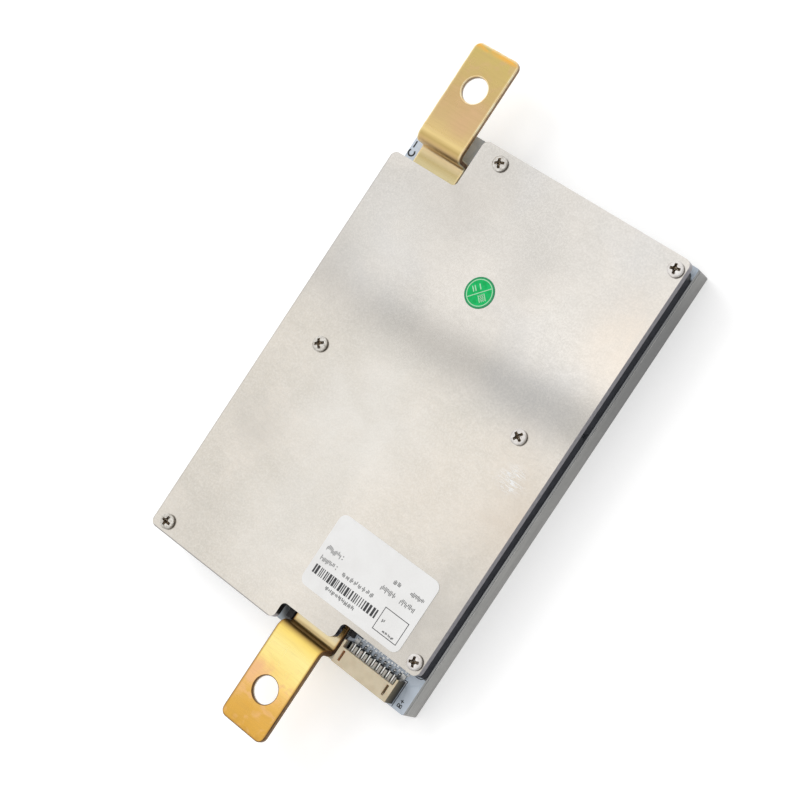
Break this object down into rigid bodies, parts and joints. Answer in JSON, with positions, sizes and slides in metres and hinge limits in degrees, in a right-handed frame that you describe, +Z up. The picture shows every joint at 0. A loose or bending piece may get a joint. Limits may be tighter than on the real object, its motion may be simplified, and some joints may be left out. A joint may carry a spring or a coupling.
{
  "type": "battery management board",
  "caption": "Flat battery management board: a circuit board between a heat sink and a stepped cover plate, with bent power tabs at both ends and a cell-sense header.",
  "frame": {"origin": "centre of the heat sink's underside, on the face that it mounts by", "axes": "+Z up through the cover, +Y along the board's length to the charge tab's end, +X across the board to the header's side"},
  "size_m": [0.105, 0.215, 0.0186],
  "materials": {
    "heat_sink_metal": "dull, drawn along its length",
    "lower_pad_rubber": "matte",
    "solder_mask": "white-blue solder mask with black print",
    "charge_tab_metal": "pale, satin",
    "battery_tab_metal": "rich gold, satin, darker at the bend",
    "header_plastic": "moulded beige",
    "tinned_pins": "bright tin",
    "transistor_plastic": "moulded",
    "tinned_leads": "solder-dull tin",
    "upper_pad_rubber": "soft, matte",
    "shunt_metal": "dull alloy",
    "chip_plastic": "moulded",
    "resistor_body": "glazed black",
    "capacitor_body": "fired tan",
    "diode_plastic": "moulded",
    "spacer_nylon": "moulded nylon, black",
    "screw_steel": "nickel-plated",
    "cover_metal": "satin, fine brushing, softened edges",
    "label_paper": "coated",
    "sticker_film": "printed film"
  },
  "bodies": {
    "root": {"heat_sink": "heat_sink_metal", "lower_thermal_pad": "lower_pad_rubber", "circuit_board": "solder_mask", "charge_tab": "charge_tab_metal", "battery_tab": "battery_tab_metal", "header_housing": "header_plastic", "header_pins": "tinned_pins", "header_anchors": "tinned_pins", "transistor_bodies_left": "transistor_plastic", "transistor_bodies_right": "transistor_plastic", "transistor_metal_left": "tinned_leads", "transistor_metal_right": "tinned_leads", "chip_legs": "tinned_leads", "upper_pad_left": "upper_pad_rubber", "upper_pad_right_near": "upper_pad_rubber", "upper_pad_right_far": "upper_pad_rubber", "current_shunts": "shunt_metal", "monitor_chip": "chip_plastic", "controller_chip": "chip_plastic", "balance_resistors": "resistor_body", "filter_capacitors": "capacitor_body", "edge_diodes": "diode_plastic", "spacer_1": "spacer_nylon", "spacer_2": "spacer_nylon", "spacer_3": "spacer_nylon", "spacer_4": "spacer_nylon", "spacer_5": "spacer_nylon", "spacer_6": "spacer_nylon", "cover_screw_1": "screw_steel", "cover_screw_2": "screw_steel", "cover_screw_3": "screw_steel", "cover_screw_4": "screw_steel", "cover_screw_5": "screw_steel", "cover_screw_6": "screw_steel", "top_cover": "cover_metal", "rating_label": "label_paper", "inspection_sticker": "sticker_film"}
  },
  "joints": []
}
